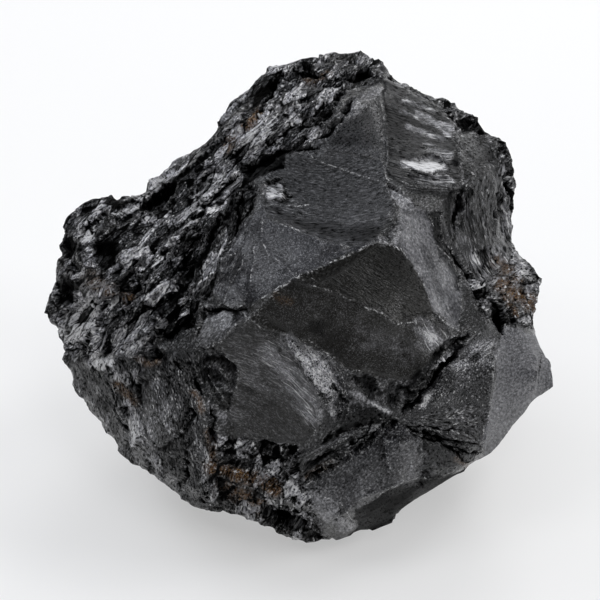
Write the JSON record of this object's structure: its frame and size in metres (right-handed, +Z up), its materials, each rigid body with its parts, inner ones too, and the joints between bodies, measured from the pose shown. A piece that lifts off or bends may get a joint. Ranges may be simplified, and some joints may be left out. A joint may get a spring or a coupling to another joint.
{
  "type": "shungite stone",
  "caption": "Rough lump of natural glassy black shungite with sharp-edged shell-like breaks in front, folded slaty layers at the upper left and a flat broken face it stands on.",
  "frame": {"origin": "centre of the bounding box's base, at the height of the surface that the stone stands on", "axes": "+Z up, +X along the stone's width from the slaty lobe towards the smooth end, -Y towards the side with the large dark breaks"},
  "size_m": [0.1024, 0.0826, 0.0787],
  "materials": {
    "stone": "glassy black carbon rock, fresh broken faces, satin to mirror-like"
  },
  "bodies": {
    "root": {"stone": "stone"}
  },
  "joints": []
}
